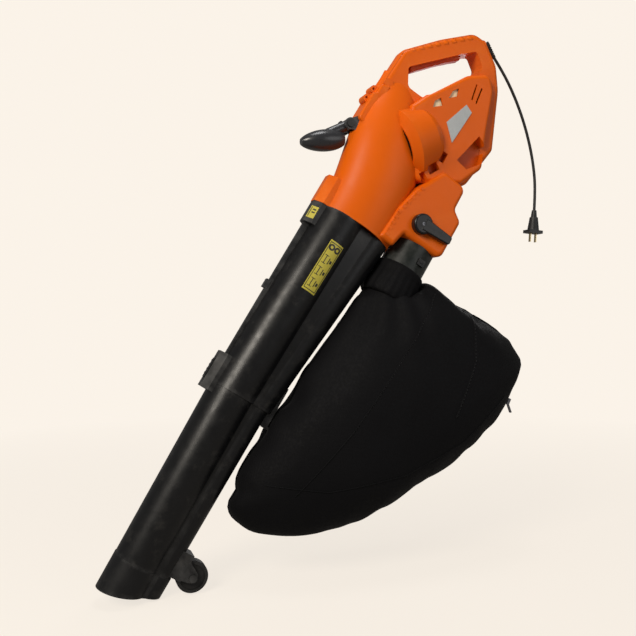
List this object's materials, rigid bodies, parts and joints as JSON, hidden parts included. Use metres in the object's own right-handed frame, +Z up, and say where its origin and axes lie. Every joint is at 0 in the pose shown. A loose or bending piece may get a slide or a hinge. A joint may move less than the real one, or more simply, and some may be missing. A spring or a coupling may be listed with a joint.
{
  "type": "leaf blower",
  "caption": "Hand-held electric leaf blower and vacuum: orange housing with looped handle, slanted twin-channel black tube, soft collection bag, front handle, small wheel and mains cord.",
  "frame": {"origin": "middle of the rear grip, on the plane the housing is split on", "axes": "+X towards the cord, away from the nozzle; +Y to the tool's far side, across it; +Z up"},
  "size_m": [0.8517, 0.19, 1.0017],
  "materials": {
    "orange_plastic": "satin moulded",
    "tube_plastic": "satin moulded",
    "sleeve_plastic": "fine grain",
    "black_plastic": "fine grain",
    "button_plastic": "ribbed",
    "wheel_plastic": "worn",
    "steel": "zinc plated",
    "webbing": "woven webbing",
    "bag_cloth": "woven polyester",
    "dark_metal": "dark plated",
    "collar_plastic": "satin moulded",
    "lever_plastic": "satin moulded",
    "fan_metal": "pressed",
    "cast_metal": "cast",
    "copper": "enamelled copper",
    "carbon": "pressed carbon",
    "brass": "pressed",
    "trigger_plastic": "ribbed",
    "cord_rubber": "smooth sheath",
    "plug_rubber": "moulded",
    "pin_brass": "polished",
    "bracket_plastic": "fine grain",
    "grip_rubber": "satin moulded",
    "grey_plate": "plain",
    "cream_foam": "open foam"
  },
  "bodies": {
    "blower": {"housing_near": "orange_plastic", "housing_far": "orange_plastic", "housing_screws": "steel", "upper_tube": "tube_plastic", "lower_tube": "tube_plastic", "nozzle_sleeve": "sleeve_plastic", "tube_catch": "black_plastic", "guide_rail": "black_plastic", "latch_block": "black_plastic", "bag_hook": "black_plastic", "wheel_bracket": "black_plastic", "wheel_axle": "black_plastic", "bag_ring": "webbing", "bag": "bag_cloth", "zip_slider": "dark_metal", "bag_collar": "collar_plastic", "motor_front_frame": "cast_metal", "front_bearing": "steel", "field_stack": "steel", "field_coils": "copper", "carbon_brushes": "carbon", "brush_holders": "brass", "motor_rear_frame": "cast_metal", "rear_bearing": "steel", "trigger_pin": "steel", "trigger_spring": "steel", "switch_block": "black_plastic", "interlock_switch": "black_plastic", "power_cord": "cord_rubber", "cord_relief": "cord_rubber", "plug": "plug_rubber", "plug_pins": "pin_brass", "aux_bracket": "bracket_plastic", "aux_bolt": "black_plastic", "blank_plate": "grey_plate", "filter_pads": "cream_foam"},
    "trigger": {"trigger": "trigger_plastic"},
    "rotor": {"motor_shaft": "steel", "impeller": "fan_metal", "impeller_nut": "steel", "armature": "copper", "commutator": "copper"},
    "selector": {"selector_shaft": "black_plastic", "selector_flap": "black_plastic", "selector_lever": "lever_plastic", "lever_screw": "dark_metal"},
    "wheel": {"wheel": "wheel_plastic"},
    "front_handle": {"aux_handle": "grip_rubber"},
    "handle_knob": {"aux_knob": "black_plastic"},
    "tube_button": {"tube_button": "button_plastic"},
    "bag_button": {"bag_button": "button_plastic"}
  },
  "joints": [
    {"name": "trigger_press", "type": "hinge", "parent": "blower", "child": "trigger", "pos_m": [-0.044, 0, -0.029], "axis": [0, -1, 0], "range_deg": [0, 4.5], "stiffness_Nm_per_rad": 1.2, "springref_deg": -11.46, "deforming": ["trigger_spring"]},
    {"name": "motor_spin", "type": "hinge", "parent": "blower", "child": "rotor", "pos_m": [-0.064, 0, -0.181], "axis": [0.9205, 0, 0.3907], "continuous": true},
    {"name": "selector_turn", "type": "hinge", "parent": "blower", "child": "selector", "pos_m": [-0.049, 0, -0.33], "axis": [0, -1, 0], "range_deg": [0, 50]},
    {"name": "wheel_roll", "type": "hinge", "parent": "blower", "child": "wheel", "pos_m": [-0.45504, 0, -0.92916], "axis": [0, 1, 0], "continuous": true},
    {"name": "front_handle_turn", "type": "hinge", "parent": "blower", "child": "front_handle", "pos_m": [-0.172, 0, -0.15], "axis": [0, 1, 0], "range_deg": [0, 35]},
    {"name": "handle_knob_turn", "type": "hinge", "parent": "blower", "child": "handle_knob", "pos_m": [-0.172, 0.02, -0.15], "axis": [0, 1, 0], "continuous": true},
    {"name": "tube_button_press", "type": "slide", "parent": "blower", "child": "tube_button", "axis": [0.8526, 0, -0.5225], "range_m": [0, 0.0022], "stiffness_N_per_m": 900, "springref_m": -0.003},
    {"name": "bag_button_press", "type": "slide", "parent": "blower", "child": "bag_button", "axis": [0, 1, 0], "range_m": [0, 0.002], "stiffness_N_per_m": 700, "springref_m": -0.003}
  ]
}
